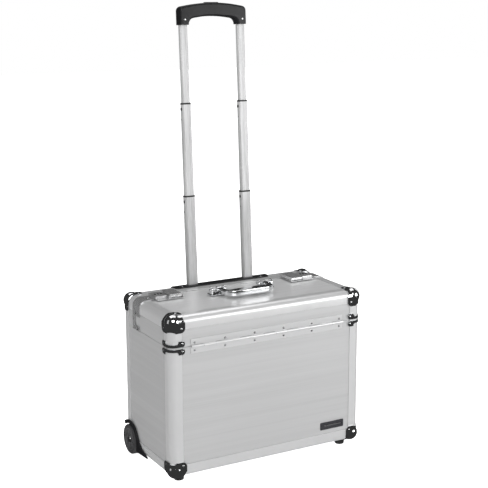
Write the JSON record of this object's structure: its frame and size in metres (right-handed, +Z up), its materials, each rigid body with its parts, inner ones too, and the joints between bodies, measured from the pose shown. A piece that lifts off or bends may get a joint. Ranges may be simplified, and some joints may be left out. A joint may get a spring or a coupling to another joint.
{
  "type": "pilot rolling flight case",
  "caption": "Aluminium pilot case with a front-hinged lid, chrome corners, lever locks, folding carry handle, two rear wheels and a telescopic trolley handle.",
  "frame": {"origin": "on the floor under the centre of the whole object's bounding box, with the trolley handle drawn out", "axes": "+X along the case to the right, +Y from the hinge side to the trolley handle side, +Z up"},
  "size_m": [0.4712, 0.2678, 0.9696],
  "materials": {
    "panel_aluminium": "fine horizontally brushed, satin",
    "edge_extrusion": "satin anodised extrusion",
    "hinge_aluminium": "satin, riveted",
    "tube_aluminium": "anodised drawn tube",
    "chrome": "bright chrome plate",
    "satin_nickel": "satin nickel plate",
    "zinc_steel": "zinc plated",
    "black_plastic": "finely grained moulding",
    "button_plastic": "smooth moulding",
    "wheel_rubber": "grey rubber tread on a moulded hub",
    "foot_rubber": "matt black rubber",
    "partition_board": "fabric covered board"
  },
  "bodies": {
    "root": {"panel_front": "panel_aluminium", "panel_rear": "panel_aluminium", "panel_bottom": "panel_aluminium", "panel_left": "panel_aluminium", "panel_right": "panel_aluminium", "frame_front": "edge_extrusion", "frame_rear": "edge_extrusion", "rail_bottom_rear": "edge_extrusion", "rail_bottom_left": "edge_extrusion", "rail_bottom_right": "edge_extrusion", "column_cap": "edge_extrusion", "trolley_partition": "partition_board", "corner_bottom_left": "chrome", "corner_bottom_right": "chrome", "corner_rear_left": "chrome", "corner_rear_right": "chrome", "brace_body_left": "chrome", "brace_body_right": "chrome", "wheel_housing_left": "black_plastic", "wheel_housing_right": "black_plastic", "axle_left": "zinc_steel", "axle_right": "zinc_steel", "foot_left": "foot_rubber", "foot_right": "foot_rubber", "hinge_leaf_body": "hinge_aluminium", "hinge_pin": "zinc_steel", "trolley_bezel": "black_plastic", "trolley_channel_left": "tube_aluminium", "trolley_channel_right": "tube_aluminium"},
    "lid": {"lid_panel_top": "panel_aluminium", "lid_panel_front": "panel_aluminium", "lid_panel_left": "panel_aluminium", "lid_panel_right": "panel_aluminium", "lid_frame": "edge_extrusion", "lid_rail_left": "edge_extrusion", "lid_rail_right": "edge_extrusion", "lid_corner_front_left": "chrome", "lid_corner_front_right": "chrome", "lid_corner_rear_left": "chrome", "lid_corner_rear_right": "chrome", "brace_lid_left": "chrome", "brace_lid_right": "chrome", "hinge_leaf_lid": "hinge_aluminium", "handle_bracket_left": "chrome", "handle_bracket_right": "chrome", "lock_base_left": "satin_nickel", "lock_base_right": "satin_nickel"},
    "carry_handle": {"carry_handle": "chrome"},
    "lock_lever_left": {"lock_lever_left": "chrome"},
    "lock_lever_right": {"lock_lever_right": "chrome"},
    "trolley_lower": {"tube_lower_left": "tube_aluminium", "tube_lower_right": "tube_aluminium"},
    "trolley_middle": {"tube_middle_left": "tube_aluminium", "tube_middle_right": "tube_aluminium"},
    "trolley_upper": {"tube_upper_left": "tube_aluminium", "tube_upper_right": "tube_aluminium", "trolley_grip": "black_plastic"},
    "grip_button": {"grip_button": "button_plastic"},
    "wheel_left": {"wheel_left": "wheel_rubber"},
    "wheel_right": {"wheel_right": "wheel_rubber"}
  },
  "joints": [
    {"name": "lid_hinge", "type": "hinge", "parent": "root", "child": "lid", "pos_m": [0, -0.1313, 0.293], "axis": [1, 0, 0], "range_deg": [0, 175]},
    {"name": "carry_handle_hinge", "type": "hinge", "parent": "lid", "child": "carry_handle", "pos_m": [0, -0.007, 0.3685], "axis": [-1, 0, 0], "range_deg": [0, 100]},
    {"name": "lock_lever_left_hinge", "type": "hinge", "parent": "lid", "child": "lock_lever_left", "pos_m": [-0.15, 0.007, 0.363], "axis": [1, 0, 0], "range_deg": [0, 100]},
    {"name": "lock_lever_right_hinge", "type": "hinge", "parent": "lid", "child": "lock_lever_right", "pos_m": [0.15, 0.007, 0.363], "axis": [1, 0, 0], "range_deg": [0, 100]},
    {"name": "trolley_lower_slide", "type": "slide", "parent": "root", "child": "trolley_lower", "axis": [0, 0.0534, 0.9986], "range_m": [-0.19, 0]},
    {"name": "trolley_middle_slide", "type": "slide", "parent": "trolley_lower", "child": "trolley_middle", "axis": [0, 0.0534, 0.9986], "range_m": [-0.1965, 0]},
    {"name": "trolley_upper_slide", "type": "slide", "parent": "trolley_middle", "child": "trolley_upper", "axis": [0, 0.0534, 0.9986], "range_m": [-0.164, 0]},
    {"name": "grip_button_slide", "type": "slide", "parent": "trolley_upper", "child": "grip_button", "axis": [0, 0.0534, 0.9986], "range_m": [-0.003, 0], "stiffness_N_per_m": 600, "springref_m": 0.001},
    {"name": "wheel_left_spin", "type": "hinge", "parent": "root", "child": "wheel_left", "pos_m": [-0.22275, 0.078, 0.033], "axis": [1, 0, 0], "continuous": true},
    {"name": "wheel_right_spin", "type": "hinge", "parent": "root", "child": "wheel_right", "pos_m": [0.22275, 0.078, 0.033], "axis": [1, 0, 0], "continuous": true}
  ]
}
